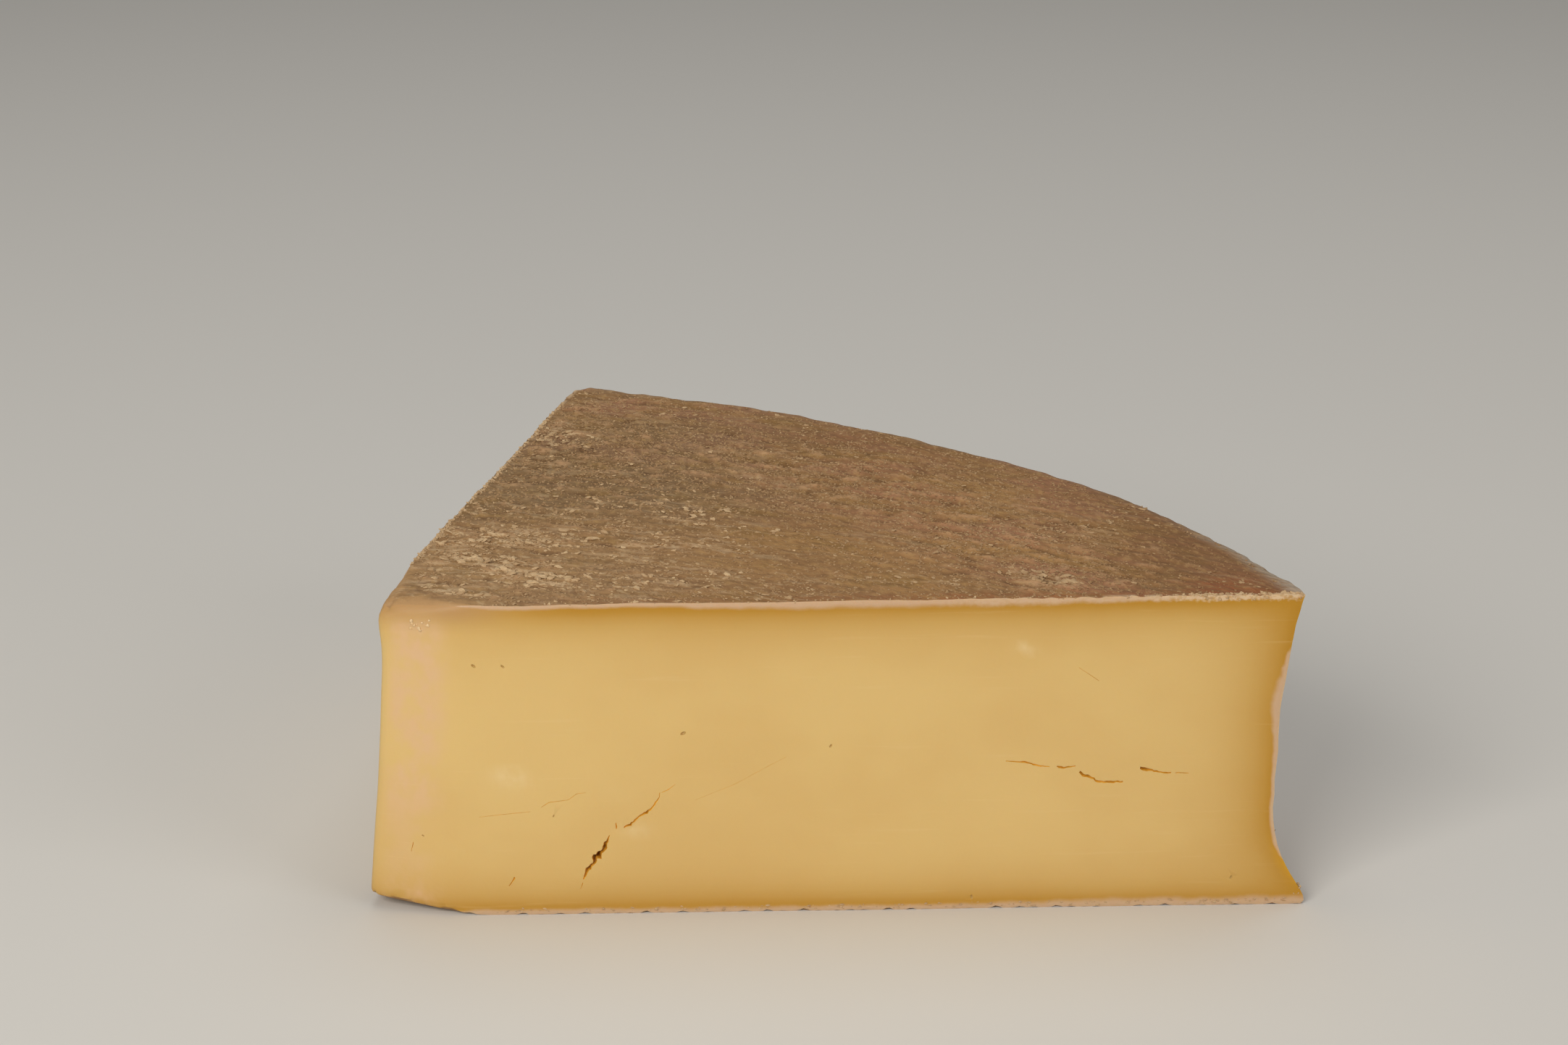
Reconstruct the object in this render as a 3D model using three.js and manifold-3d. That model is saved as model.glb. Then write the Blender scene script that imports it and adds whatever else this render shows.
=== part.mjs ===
// A block of pressed mountain cheese: a wedge cut from a flat wheel, resting on its lower rind.
// Two straight cuts meet at a blunt tip, and the side away from the tip is the wheel's hollow heel.
// Units are millimetres and +Z is up. +X runs along the front cut, from the tip to the heel.
// The shape is worked out from the tip, then moved so that the origin is under its middle.

import * as THREE from "three";
import { ImprovedNoise } from "three/addons/math/ImprovedNoise.js";
import { mergeVertices } from "three/addons/utils/BufferGeometryUtils.js";
import Module from "manifold-3d";

// The wheel and the two cuts
const WHEEL_RADIUS = 215;
const BLOCK_HEIGHT = 70;
const HEEL_RISE = 0.9; // how much taller the block is at its heel than at its tip
const FRONT_LENGTH = 195; // from the tip to the heel's upper lip
const CUT_ANGLE = THREE.MathUtils.degToRad(75.6);
const CENTRE_AHEAD = 36.8; // the wheel's centre lies this far in front of the front cut

// The blunt tip: a narrow facet turns back from the front cut, and its foot curls up
const TIP_FACET = 16;
const TIP_SETBACK = 5.8;
const TIP_BEND = 1.3; // above 1 the facet runs softly into the front cut
const TIP_LIFT = 2.7;
const TIP_LIFT_RUN = 26;
const TIP_FLARE = 3.1; // the foot reaches this far beyond the top
const TIP_FLARE_POWER = 1.6;
const TIP_SHOULDER = 1.8; // the worn top corner drops by this much
const TIP_SHOULDER_RUN = 8;

// The heel's profile, measured outwards from its upper lip
const HEEL_HOLLOW = 4.6;
const UPPER_LIP_CURL = 13;
const LOWER_LIP = 8;
const LOWER_LIP_CURL = 9.8;

// Unevenness of the whole block, and the coarser relief of the rind
const WARP = 0.35;
const WARP_SPAN = 48;
const RIND_RELIEF = 0.55;
const RIND_SPAN = new THREE.Vector2(22, 11); // ridges are long along X and short across
const HEEL_RELIEF = 0.7;
const HEEL_WAVES = 7;

// How finely the faces are divided. Columns crowd towards the tip, and rows towards both lips.
const COLUMNS = 32;
const ROWS = 12;
const TIP_CROWDING = 1.2;

// Cracks in the front cut: points are across from the tip and up from the foot
const CRACKS = [
  { path: [[42.3, 6], [45, 12.7], [48.4, 18]], width: 1.6, depth: 7 },
  { path: [[51.4, 19.7], [57, 24], [59.2, 27.2], [62.4, 29.4]], width: 0.8, depth: 5 },
  { path: [[131.6, 34.1], [139.6, 32.6], [148, 32.6]], width: 0.6, depth: 5 },
  { path: [[148.2, 31.2], [152, 28.9], [158.2, 28.5]], width: 0.6, depth: 5 },
  { path: [[161.4, 32], [166, 30.9], [172, 30.3]], width: 0.5, depth: 4 },
];
const CRACK_STEPS = 8;
const CRACK_LEAD = 2; // a blade starts this far in front of the cut
const CRACK_END = 0.12; // share of the width that is left at a crack's ends
const CRACK_FLOOR = 0.3; // share of the width that is left at a crack's floor

const PASTE_COLOUR = 0xd6b271;

const noise = new ImprovedNoise();
const wheelCentre = new THREE.Vector2(
  FRONT_LENGTH - Math.sqrt(WHEEL_RADIUS ** 2 - CENTRE_AHEAD ** 2),
  -CENTRE_AHEAD,
);
const rearDirection = new THREE.Vector2(Math.cos(CUT_ANGLE), Math.sin(CUT_ANGLE));

// How far the heel stands out from its upper lip at a height from 0, the foot, to 1, the top
function heelProfile(height) {
  const rise = height * BLOCK_HEIGHT;
  const drop = BLOCK_HEIGHT - rise;
  const upper = HEEL_HOLLOW * Math.exp(-drop / UPPER_LIP_CURL);
  const lower = LOWER_LIP * Math.exp(-((rise / LOWER_LIP_CURL) ** 2));
  return upper + lower - HEEL_HOLLOW;
}

// The tip's place in plan, which moves out towards the foot
function tipPoint(height) {
  return new THREE.Vector2(-TIP_FLARE * (1 - height) ** TIP_FLARE_POWER, TIP_SETBACK);
}

// The point where the line of the rear cut meets a circle about the wheel's centre
function rearHeelPoint(tip, radius) {
  const fromCentre = tip.clone().sub(wheelCentre);
  const along = fromCentre.dot(rearDirection);
  const reach = Math.sqrt(along ** 2 - fromCentre.lengthSq() + radius ** 2) - along;
  return tip.clone().addScaledVector(rearDirection, reach);
}

function pointOnWheel(radius, angle) {
  return new THREE.Vector2(Math.cos(angle), Math.sin(angle)).multiplyScalar(radius).add(wheelCentre);
}

// A point of the front cut: the facet at the tip, then straight on to the heel
function frontPoint(share, tip, heel) {
  const point = tip.clone().lerp(heel, share);
  const facet = Math.max(0, 1 - (point.x - tip.x) / TIP_FACET);
  point.y = TIP_SETBACK * facet ** TIP_BEND;
  return point;
}

// The plan at one height is a four-sided patch: the two cuts, and the heel's arc in two halves.
// Both shares are 0 at the tip and 1 on the heel.
function planPoint(frontShare, rearShare, height) {
  const wave = [frontShare, rearShare, height].map((share) => share * HEEL_WAVES);
  const relief = HEEL_RELIEF * noise.noise(...wave);
  const radius = WHEEL_RADIUS + heelProfile(height) + relief;
  const tip = tipPoint(height);
  const frontAngle = Math.asin(CENTRE_AHEAD / radius);
  const rearHeel = rearHeelPoint(tip, radius);
  const rearAngle = rearHeel.clone().sub(wheelCentre).angle();
  const middleAngle = (frontAngle + rearAngle) / 2;
  const frontHeel = pointOnWheel(radius, frontAngle);
  const middle = pointOnWheel(radius, middleAngle);

  const front = frontPoint(frontShare, tip, frontHeel);
  const rear = tip.clone().lerp(rearHeel, rearShare);
  const frontArc = pointOnWheel(radius, THREE.MathUtils.lerp(frontAngle, middleAngle, rearShare));
  const rearArc = pointOnWheel(radius, THREE.MathUtils.lerp(rearAngle, middleAngle, frontShare));
  const corners = tip.clone().lerp(frontHeel, frontShare);
  corners.lerp(rearHeel.clone().lerp(middle, frontShare), rearShare);
  const across = front.lerp(rearArc, rearShare);
  return across.add(rear.lerp(frontArc, frontShare)).sub(corners);
}

// The point of the block's skin at the two plan shares and the height, each from 0 to 1
function blockPoint(frontShare, rearShare, height) {
  const plan = planPoint(frontShare, rearShare, height);
  const fromTip = plan.distanceTo(tipPoint(height));
  const top = BLOCK_HEIGHT + HEEL_RISE * (plan.x / FRONT_LENGTH - 0.5);
  const lift = TIP_LIFT * Math.max(0, 1 - fromTip / TIP_LIFT_RUN) * (1 - height) ** 2;
  const shoulder = TIP_SHOULDER * Math.max(0, 1 - fromTip / TIP_SHOULDER_RUN) * height ** 4;
  const point = new THREE.Vector3(plan.x, plan.y, height * top + lift - shoulder);

  const place = point.clone().divideScalar(WARP_SPAN);
  const standing = Math.min(1, height * ROWS); // the foot stays flat
  const rind = height === 1 ? RIND_RELIEF * noise.noise(plan.x / RIND_SPAN.x, plan.y / RIND_SPAN.y, 0) : 0;
  point.x += WARP * noise.noise(place.x, place.y, place.z);
  point.y += WARP * noise.noise(place.y, place.z, place.x);
  point.z += (WARP * noise.noise(place.z, place.x, place.y) + rind) * standing;
  return point;
}

// A box's grid, with every point carried to where the given function puts it
function shapedBox(columns, layers, rows, placePoint) {
  const box = new THREE.BoxGeometry(1, 1, 1, columns, layers, rows);
  box.deleteAttribute("normal");
  box.deleteAttribute("uv");
  const merged = mergeVertices(box);
  const position = merged.getAttribute("position");
  for (let index = 0; index < position.count; index += 1) {
    const corner = new THREE.Vector3().fromBufferAttribute(position, index).addScalar(0.5);
    const point = placePoint(corner.x, corner.y, corner.z);
    position.setXYZ(index, point.x, point.y, point.z);
  }
  return merged;
}

function blockGeometry() {
  return shapedBox(COLUMNS, COLUMNS, ROWS, (along, back, up) => {
    const height = (1 - Math.cos(Math.PI * up)) / 2;
    return blockPoint(along ** TIP_CROWDING, back ** TIP_CROWDING, height);
  });
}

// A thin blade along a crack's path, narrow at both ends and at its floor
function crackGeometry({ path, width, depth }) {
  const curve = new THREE.CatmullRomCurve3(path.map(([x, z]) => new THREE.Vector3(x, 0, z)));
  return shapedBox(CRACK_STEPS, 1, 1, (along, back, side) => {
    const tangent = curve.getTangentAt(along);
    const across = new THREE.Vector3(-tangent.z, 0, tangent.x);
    const opening = CRACK_END + (1 - CRACK_END) * Math.sin(Math.PI * along);
    const narrowing = THREE.MathUtils.lerp(1, CRACK_FLOOR, back);
    const offset = (side - 0.5) * width * opening * narrowing;
    const point = curve.getPointAt(along).addScaledVector(across, offset);
    point.y = THREE.MathUtils.lerp(-CRACK_LEAD, depth, back);
    return point;
  });
}

const wasm = await Module();
wasm.setup();

function toSolid(geometry) {
  const vertProperties = new Float32Array(geometry.getAttribute("position").array);
  const triVerts = new Uint32Array(geometry.getIndex().array);
  return new wasm.Manifold(new wasm.Mesh({ numProp: 3, vertProperties, triVerts }));
}

function toGeometry(solid) {
  const { vertProperties, triVerts } = solid.getMesh();
  const geometry = new THREE.BufferGeometry();
  geometry.setAttribute("position", new THREE.BufferAttribute(vertProperties, 3));
  geometry.setIndex(new THREE.BufferAttribute(triVerts, 1));
  return geometry;
}

function crackedBlock() {
  let solid = toSolid(blockGeometry());
  for (const crack of CRACKS) {
    solid = solid.subtract(toSolid(crackGeometry(crack)));
  }
  const geometry = toGeometry(solid);
  geometry.computeBoundingBox();
  const middle = geometry.boundingBox.getCenter(new THREE.Vector3());
  geometry.translate(-middle.x, -middle.y, -geometry.boundingBox.min.z);
  geometry.computeVertexNormals();
  return geometry;
}

const paste = new THREE.MeshStandardMaterial({ color: PASTE_COLOUR, roughness: 0.5, metalness: 0 });
const block = new THREE.Mesh(crackedBlock(), paste);
block.name = "cheese_block";

const cheese = new THREE.Group();
cheese.add(block);

export default cheese;
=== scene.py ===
"""A block of pressed mountain cheese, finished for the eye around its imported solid.

Lengths are millimetres from the block's tip while the shape is worked out:
x runs along the front cut to the heel, y runs back and z is up.
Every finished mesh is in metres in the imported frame.
"""
import math
import random
from types import SimpleNamespace

import bmesh
import bpy
import numpy as np
from mathutils import Matrix, Vector, noise


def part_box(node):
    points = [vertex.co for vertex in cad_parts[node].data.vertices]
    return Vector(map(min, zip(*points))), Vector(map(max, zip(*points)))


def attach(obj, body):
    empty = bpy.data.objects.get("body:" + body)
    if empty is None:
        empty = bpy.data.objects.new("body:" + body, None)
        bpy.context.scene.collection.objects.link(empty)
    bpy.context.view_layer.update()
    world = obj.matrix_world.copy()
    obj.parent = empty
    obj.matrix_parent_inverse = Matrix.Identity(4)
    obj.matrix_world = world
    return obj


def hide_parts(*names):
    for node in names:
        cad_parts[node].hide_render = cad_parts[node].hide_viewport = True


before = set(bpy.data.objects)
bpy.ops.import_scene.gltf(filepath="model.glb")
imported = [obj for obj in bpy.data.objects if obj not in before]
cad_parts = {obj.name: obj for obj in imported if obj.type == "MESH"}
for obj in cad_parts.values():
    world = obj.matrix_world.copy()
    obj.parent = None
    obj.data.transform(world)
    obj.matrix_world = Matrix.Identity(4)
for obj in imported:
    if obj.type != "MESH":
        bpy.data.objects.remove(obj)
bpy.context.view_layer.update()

MM = 0.001
TINY = 1e-6
SEED = 20
noise.seed_set(SEED)  # without it the warp would follow the clock

# The wheel and the two cuts
WHEEL_RADIUS = 215
BLOCK_HEIGHT = 70
HEEL_RISE = 0.9  # how much taller the block is at its heel than at its tip
FRONT_LENGTH = 195  # from the tip to the heel's upper lip
CUT_ANGLE = math.radians(75.6)
CENTRE_AHEAD = 36.8  # the wheel's centre lies this far in front of the front cut

# The blunt tip: a soft facet turned back from the front cut,
# with a small bulge near the top, worn corners and a lifted foot that reaches beyond the top
TIP_FACET = 16
TIP_SETBACK = 5.8
TIP_SOFTNESS = 2.2
TIP_LIFT = 2.7
TIP_LIFT_RUN = 26
TIP_FLARE = 3.6
TIP_FLARE_POWER = 1.6
TIP_BULGE = 0.65
TIP_BULGE_HEIGHT = 0.93  # of the block's height, as the span is
TIP_BULGE_SPAN = 0.06
TIP_SHOULDER = 0.7
TIP_SHOULDER_RUN = 9
TIP_TOP_ROUND = 3.4
TIP_FOOT_ROUND = 1.6
TIP_EDGE_ROUND = 2.2
TIP_WEAR_ALONG = (25, 8)  # the wear of the corners starts and is full here along the front cut
TIP_WEAR_AROUND = (30, 10)  # and here away from the tip

# The heel's profile, measured outwards from its upper lip, and the wear of its two lips
HEEL_HOLLOW = 4.6
UPPER_LIP_CURL = 13
LOWER_LIP = 9.6
LOWER_LIP_SPAN = 21
LOWER_LIP_POWER = 1.9
FOOT_WEAR = 2.4
FOOT_WEAR_RUN = 0.9
LIP_WEAR = 1.1
LIP_WEAR_RUN = 1.6
LIP_WEAR_START = (3, 20)  # the upper lip is sharp at the cuts and worn from here on

# The heel's rear end, which stands a little further out and higher than the rest
HEEL_CORNER_ROUND = 6.5
REAR_SWELL = 3.0
REAR_SWELL_RUN = (120, 170)
REAR_RISE = 0.7
REAR_RISE_RUN = (110, 175)

# Relief of the cuts and the rind. The spans are how long a wave is along the grain, across it and upwards.
WARP = 0.35
WARP_SPAN = 48
CUT_RIPPLE = 0.10
CUT_RIPPLE_SPAN = 9
GRAIN_LEAN = 0.12
GRAIN_SWING = 0.0016
SWELL = 0.25
SWELL_SPANS = (22, 11, 11)
RIDGE = 0.4
RIDGE_SPANS = (10, 2.8, 2.8)
LUMP = 0.65
LUMP_SPANS = (5.2, 3.8, 3.8)
PATCH_SPANS = (26, 10, 10)
CUT_CALM = 0.3  # share of the rind's relief that is left at the cuts
CUT_CALM_RUN = 5
HEEL_RELIEF = 0.7
HEEL_RELIEF_SPAN = 16
HEEL_RELIEF_REACH = 10
HEEL_GRAIN = 0.32
HEEL_GRAIN_SPAN = 3.4
ARRIS = 0.4
ARRIS_CRUMBLE = 0.35
ARRIS_CRUMBLE_SPAN = 1.9
ARRIS_CRUMBLE_RUN = (95, 150)
SHARP_ANGLE = math.radians(50)
FOOT_GAP = 1.0
FOOT_GAP_SPAN = 2.6

# Where the rind flakes most: x, y, and how far each way
FLAKE_CLUSTERS = [
    (29, 47, 7, 4), (19, 34, 5, 4), (28, 27, 5, 6), (34, 19, 6, 6), (37, 40, 4, 5), (38, 128, 5, 9),
    (155, 49, 11, 8), (141, 15, 10, 8), (119, 22, 4, 2),
]

# How finely the body is divided along the front cut, the rear cut and upwards.
# Columns crowd towards the tip, rows towards the top and the foot, and the rind is divided again.
CELLS = (88, 88, 30)
TIP_CROWDING = 1.2
ROW_CROWDING = 0.7
RIND_CUTS = 2

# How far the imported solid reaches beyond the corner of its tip, and in front of the front cut
SOLID_TIP_REACH = 3.11
SOLID_FRONT_REACH = 0.17

low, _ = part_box("cheese_block")
tip_origin = low + Vector((SOLID_TIP_REACH, SOLID_FRONT_REACH, 0)) * MM
centre_back = math.sqrt(WHEEL_RADIUS ** 2 - CENTRE_AHEAD ** 2)
wheel_centre = Vector((FRONT_LENGTH - centre_back, -CENTRE_AHEAD))
rear_direction = Vector((math.cos(CUT_ANGLE), math.sin(CUT_ANGLE)))
rear_inward = Vector((math.sin(CUT_ANGLE), -math.cos(CUT_ANGLE)))
facet_inward = Vector((TIP_SETBACK, TIP_FACET)).normalized()


def to_frame(point):
    """A point in millimetres from the tip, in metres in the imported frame."""
    return tip_origin + Vector(point) * MM


def from_frame(point):
    """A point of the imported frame, in millimetres from the tip."""
    return (Vector(point) - tip_origin) / MM


def ripple(point, spans):
    """Smooth unevenness from -1 to 1, as long each way as the spans say."""
    return noise.noise(Vector((point[0] / spans[0], point[1] / spans[1], point[2] / spans[2])))


def fade(value, start, end):
    """0 at start and 1 at end, with soft ends."""
    share = min(1.0, max(0.0, (value - start) / (end - start)))
    return share * share * (3 - 2 * share)


def hill(value, middle, width):
    """1 at the middle, dying away over the width on both sides."""
    return math.exp(-(((value - middle) / width) ** 2))


# Shape of the block

def heel_profile(height):
    """How far the heel stands out from its upper lip at a height from 0, the foot, to 1, the top."""
    rise = height * BLOCK_HEIGHT
    upper = HEEL_HOLLOW * math.exp((rise - BLOCK_HEIGHT) / UPPER_LIP_CURL)
    lower = LOWER_LIP * max(0.0, 1 - rise / LOWER_LIP_SPAN) ** LOWER_LIP_POWER
    wear = FOOT_WEAR * math.exp(-rise / FOOT_WEAR_RUN)
    return upper + lower - wear - HEEL_HOLLOW


def tip_point(height):
    """The tip's place in plan, which moves out towards the foot and swells near the top."""
    flare = TIP_FLARE * max(0.0, 1 - height) ** TIP_FLARE_POWER
    bulge = TIP_BULGE * hill(height, TIP_BULGE_HEIGHT, TIP_BULGE_SPAN)
    return Vector((-flare - bulge, TIP_SETBACK))


def front_line(x, tip):
    """How far back the front cut lies: a facet at the tip, running softly into the straight cut."""
    setback = TIP_SETBACK * (1 - (x - tip.x) / TIP_FACET)
    return (setback + math.hypot(setback, TIP_SOFTNESS)) / 2


def point_on_wheel(radius, angle):
    """The point of a circle about the wheel's centre."""
    return wheel_centre + radius * Vector((math.cos(angle), math.sin(angle)))


def rear_heel_point(tip, radius):
    """Where the line of the rear cut meets a circle about the wheel's centre."""
    from_centre = tip - wheel_centre
    along = from_centre.dot(rear_direction)
    reach = math.sqrt(along ** 2 - from_centre.length_squared + radius ** 2) - along
    return tip + reach * rear_direction


def plan_point(front_share, rear_share, height):
    """The plan at one height: the two cuts, and the heel's arc in two halves."""
    radius = WHEEL_RADIUS + heel_profile(height)
    tip = tip_point(height)
    front_angle = math.asin(CENTRE_AHEAD / radius)
    rear_heel = rear_heel_point(tip, radius)
    rear_angle = math.atan2(rear_heel.y - wheel_centre.y, rear_heel.x - wheel_centre.x)
    middle_angle = (front_angle + rear_angle) / 2
    front_heel = point_on_wheel(radius, front_angle)
    middle = point_on_wheel(radius, middle_angle)

    front = tip.lerp(front_heel, front_share)
    front.y = front_line(front.x, tip)
    rear = tip.lerp(rear_heel, rear_share)
    front_arc = point_on_wheel(radius, front_angle + (middle_angle - front_angle) * rear_share)
    rear_arc = point_on_wheel(radius, rear_angle + (middle_angle - rear_angle) * front_share)
    corners = tip.lerp(front_heel, front_share).lerp(rear_heel.lerp(middle, front_share), rear_share)
    plan = front.lerp(rear_arc, rear_share) + rear.lerp(front_arc, front_share) - corners
    outward = plan - wheel_centre
    near_heel = fade(radius - outward.length, HEEL_RELIEF_REACH, 0)
    return plan + outward.normalized() * heel_relief(plan.x, plan.y, height) * near_heel


def heel_relief(x, y, height):
    """The heel's own unevenness: a swell at its rear end, slow waves and a finer grain."""
    place = (x, y, height * BLOCK_HEIGHT)
    swell = REAR_SWELL * fade(y, *REAR_SWELL_RUN)
    waves = HEEL_RELIEF * ripple(place, [HEEL_RELIEF_SPAN] * 3)
    return swell + waves + HEEL_GRAIN * ripple(place, [HEEL_GRAIN_SPAN] * 3)


def rim_distance(x, y, height=1.0):
    """How far a point is inside the heel at that height."""
    reach = WHEEL_RADIUS + heel_profile(height) + heel_relief(x, y, height)
    return reach - (Vector((x, y)) - wheel_centre).length


def cut_distances(x, y, height=1.0):
    """How far a point is behind the front cut, and how far inside the rear cut."""
    tip = tip_point(height)
    behind = (y - front_line(x, tip)) * (facet_inward.y if x < TIP_FACET else 1.0)
    return behind, (Vector((x, y)) - tip).dot(rear_inward)


def with_the_grain(x, y):
    """The place on the rind in the lie of its grain, which swings forward towards the heel."""
    return Vector((x, y + GRAIN_LEAN * x + GRAIN_SWING * x * x, 0))


def flakiness(x, y):
    """Where the rind is crumbly: most of all towards the tip, in patches and a few clusters."""
    patches = ripple(with_the_grain(x, y), PATCH_SPANS)
    towards_tip = 1 - fade(x, 35, 125)
    forward = 1 - 0.6 * fade(y, 50, 80)
    clusters = sum(hill(x, a, c) * hill(y, b, d) for a, b, c, d in FLAKE_CLUSTERS)
    share = 0.06 + (0.36 * towards_tip + 0.5 * patches) * forward + 0.55 * clusters
    return min(1.0, max(0.0, share))


def lumpiness(x, y):
    """Where the rind is grainy: next to the tip, and again inside the heel."""
    return 0.3 + 1.0 * hill(rim_distance(x, y), 42, 24) + 0.45 * (1 - fade(x, 30, 85))


def rind_relief(x, y):
    """The ridges and lumps of the upper rind, calmer next to the cuts."""
    place = with_the_grain(x, y)
    ridges = RIDGE * (0.35 + 0.65 * flakiness(x, y)) * ripple(place, RIDGE_SPANS)
    in_spans = Vector([length / span for length, span in zip(place, LUMP_SPANS)])
    lumps = LUMP * lumpiness(x, y) * noise.fractal(in_spans, 0.9, 2.0, 2)
    calm = CUT_CALM + (1 - CUT_CALM) * fade(min(cut_distances(x, y)), 0, CUT_CALM_RUN)
    return (ridges + lumps) * calm


def top_height(x, y):
    """The height of the upper rind over a point of the plan."""
    relief = SWELL * ripple(with_the_grain(x, y), SWELL_SPANS) + rind_relief(x, y)
    corner = fade(min(cut_distances(x, y)), *LIP_WEAR_START)
    wear = LIP_WEAR * corner * math.exp(-max(0.0, rim_distance(x, y)) / LIP_WEAR_RUN)
    from_tip = (Vector((x, y)) - tip_point(1.0)).length
    shoulder = TIP_SHOULDER * max(0.0, 1 - from_tip / TIP_SHOULDER_RUN)
    rise = HEEL_RISE * (x / FRONT_LENGTH - 0.5) + REAR_RISE * fade(y, *REAR_RISE_RUN)
    return BLOCK_HEIGHT + rise + relief - wear - shoulder


def worn_corner(first, second, radius):
    """How far a point, so far from each of two faces, moves off them when their corner is rounded."""
    depth = min(first, second)
    if radius < TINY or abs(second - first) >= radius or depth >= 2 * radius:
        return 0.0, 0.0
    angle = (1 - (second - first) / radius) * math.pi / 4
    share = 1 - max(0.0, depth) / (2 * radius)
    off_first = radius * (1 - math.cos(angle)) - (first - depth)
    off_second = radius * (1 - math.sin(angle)) - (second - depth)
    return off_first * share, off_second * share


def unevenness(point):
    """The slow warp of the whole block, and the ripple that a knife leaves."""
    warp = noise.noise_vector(point / WARP_SPAN) * WARP
    waves = noise.noise_vector(point / CUT_RIPPLE_SPAN) * CUT_RIPPLE
    return Vector((warp.x + waves.x, warp.y + waves.y, waves.z))


def block_point(front_share, rear_share, height):
    """The point of the block's skin at the two plan shares and the height, each from 0 to 1."""
    plan = plan_point(front_share, rear_share, height)
    behind, beside = cut_distances(plan.x, plan.y, height)
    off_front, off_rear = worn_corner(behind, beside, TIP_EDGE_ROUND)
    plan += facet_inward * off_front + rear_inward * off_rear
    inside = rim_distance(plan.x, plan.y, height)
    off_heel, off_rear = worn_corner(inside, beside, HEEL_CORNER_ROUND)
    plan += (wheel_centre - plan).normalized() * off_heel + rear_inward * off_rear

    top = top_height(plan.x, plan.y)
    from_tip = (plan - tip_point(height)).length
    lift = TIP_LIFT * max(0.0, 1 - from_tip / TIP_LIFT_RUN) * (1 - height) ** 2
    rise = height * top + lift
    wear = fade(plan.x, *TIP_WEAR_ALONG) * fade(from_tip, *TIP_WEAR_AROUND)
    for distance, inward in ((behind, facet_inward), (beside, rear_inward)):
        top_inset, drop = worn_corner(distance, top - rise, TIP_TOP_ROUND * wear)
        foot_inset, climb = worn_corner(distance, rise - lift, TIP_FOOT_ROUND * wear)
        plan += inward * (top_inset + foot_inset)
        rise += climb - drop

    point = Vector((plan.x, plan.y, rise))
    on_cut = min(front_share, rear_share) < TINY
    if on_cut and height < TINY:
        point.z += FOOT_GAP * max(0.0, ripple(point, [FOOT_GAP_SPAN] * 3))
    if on_cut and height > 1 - TINY:
        crumble = noise.noise_vector(point / ARRIS_CRUMBLE_SPAN) * ARRIS_CRUMBLE
        point += crumble * fade(from_tip, *ARRIS_CRUMBLE_RUN)
    offset = unevenness(point)
    offset.z *= min(1.0, height * 8)  # the underside stays flat
    return point + offset


def cut_point(cut, across, up, depth=0.0):
    """A point of a cut's face, so far from the tip and above the foot, or that deep behind it."""
    tip = tip_point(up / BLOCK_HEIGHT)
    if cut == "front":
        plan = Vector((across, front_line(across, tip)))
        inward = Vector((0, 1))
    else:
        plan = tip + across * rear_direction
        inward = rear_inward
    point = Vector((plan.x, plan.y, up))
    return point + unevenness(point) + (inward * depth).to_3d()


# Mesh helpers

def divided_cube(cells):
    """A unit cube from 0 to 1, cut into cells along each axis."""
    shape = bmesh.new()
    bmesh.ops.create_cube(shape, size=1.0, matrix=Matrix.Translation((0.5, 0.5, 0.5)))
    for axis, count in enumerate(cells):
        along = []
        for edge in shape.edges:
            first, second = [vertex.co for vertex in edge.verts]
            if abs(first[axis] - second[axis]) > TINY:
                along.append(edge)
        if count > 1:
            bmesh.ops.subdivide_edges(shape, edges=along, cuts=count - 1, use_grid_fill=True)
    return shape


def divide_rind(shape):
    """Divides the top, and the feet of the two cuts, more finely than the rest."""
    row = 1.5 / CELLS[2]
    fine = []
    for edge in shape.edges:
        first, second = [vertex.co for vertex in edge.verts]
        level = abs(first.z - second.z) < TINY
        on_cut = max(first.x, second.x) < TINY or max(first.y, second.y) < TINY
        if level and (first.z > 1 - row or (first.z < row and on_cut)):
            fine.append(edge)
    bmesh.ops.subdivide_edges(shape, edges=fine, cuts=RIND_CUTS, use_grid_fill=True)


def add_object(name, mesh, materials, smooth=True):
    """Shows a mesh as an object at the origin."""
    for material in materials:
        mesh.materials.append(material)
    if smooth:
        mesh.shade_smooth()
    piece = bpy.data.objects.new(name, mesh)
    bpy.context.scene.collection.objects.link(piece)
    return piece


def to_mesh(name, shape):
    """A finished shape as a mesh. The shape itself is freed."""
    mesh = bpy.data.meshes.new(name)
    shape.to_mesh(mesh)
    shape.free()
    return mesh


def set_measures(mesh, measures):
    """Stores each named list of numbers or vectors at the mesh's points."""
    for name, values in measures.items():
        table = np.array(values, np.float32)
        kind, field = ("FLOAT", "value") if table.ndim == 1 else ("FLOAT_VECTOR", "vector")
        mesh.attributes.new(name, kind, "POINT").data.foreach_set(field, table.ravel())


# Materials

def linear(code):
    """An sRGB hex colour as linear red, green, blue and alpha."""
    channels = []
    for place in (1, 3, 5):
        part = int(code[place:place + 2], 16) / 255
        channels.append(part / 12.92 if part <= 0.04045 else ((part + 0.055) / 1.055) ** 2.4)
    return channels + [1.0]


def add(tree, kind, inputs, output=0, **settings):
    """Adds a node, sets its properties, sets or links its inputs, and returns one of its outputs."""
    node = tree.nodes.new(kind)
    for name, value in settings.items():
        setattr(node, name, value)
    for socket, value in inputs.items():
        if isinstance(value, bpy.types.NodeSocket):
            tree.links.new(value, node.inputs[socket])
        else:
            node.inputs[socket].default_value = value
    return node.outputs[output]


def new_material(name):
    """A new material, with its node tree and its shader."""
    material = bpy.data.materials.new(name)
    material.use_nodes = True
    tree = material.node_tree
    return material, tree, tree.nodes["Principled BSDF"]


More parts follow.
